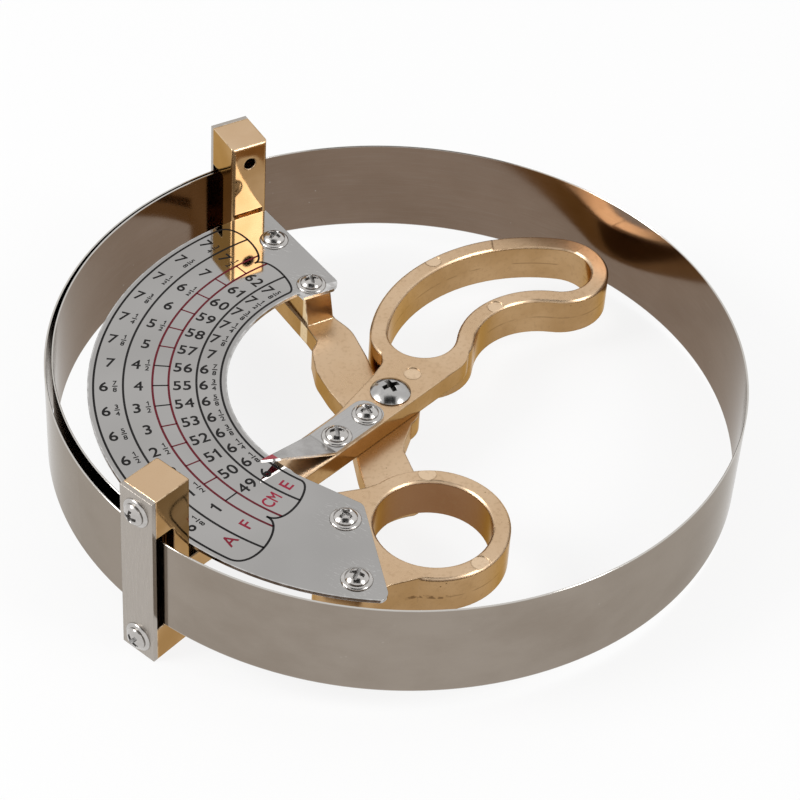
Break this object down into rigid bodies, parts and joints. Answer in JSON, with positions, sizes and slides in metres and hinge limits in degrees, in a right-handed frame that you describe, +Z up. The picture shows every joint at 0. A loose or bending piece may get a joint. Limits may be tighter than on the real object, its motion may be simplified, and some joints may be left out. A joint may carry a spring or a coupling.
{
  "type": "hat sizing gauge",
  "caption": "Hand-held hat sizing gauge: crossed gold levers with a finger loop and thumb ring open a spring-steel band, and a pointer reads its girth on a curved scale plate.",
  "frame": {"origin": "on the pivot axis of the two levers, in the plane of the two band posts' feet", "axes": "+Z up along the pivot axis, +X to the right and +Y away from the user who reads the scale"},
  "size_m": [0.1564, 0.1562, 0.0465],
  "materials": {
    "gold": "satin gold plate with polished sides",
    "band_steel": "brushed along the strip",
    "plate_steel": "polished, with printed scales",
    "pointer_steel": "satin, with a red painted tip",
    "keeper_steel": "satin",
    "fasteners": "polished"
  },
  "bodies": {
    "thumb": {"thumb_lever": "gold", "band": "band_steel", "scale_plate": "plate_steel", "scale_screws": "fasteners", "scale_washers": "fasteners", "pivot_screw": "fasteners", "pivot_washer": "fasteners", "pivot_nut": "fasteners", "rear_keeper": "keeper_steel", "rear_keeper_screws": "fasteners", "rear_keeper_washers": "fasteners", "rear_band_rivets": "fasteners"},
    "finger": {"finger_lever": "gold", "pointer": "pointer_steel", "pointer_screws": "fasteners", "pointer_washers": "fasteners", "front_keeper": "keeper_steel", "front_keeper_screws": "fasteners", "front_keeper_washers": "fasteners", "front_band_rivets": "fasteners"}
  },
  "joints": [
    {"name": "squeeze", "type": "hinge", "parent": "thumb", "child": "finger", "pos_m": [0, 0, 0.0184], "axis": [0, 0, -1], "range_deg": [0, 95], "deforming": ["band"]}
  ]
}
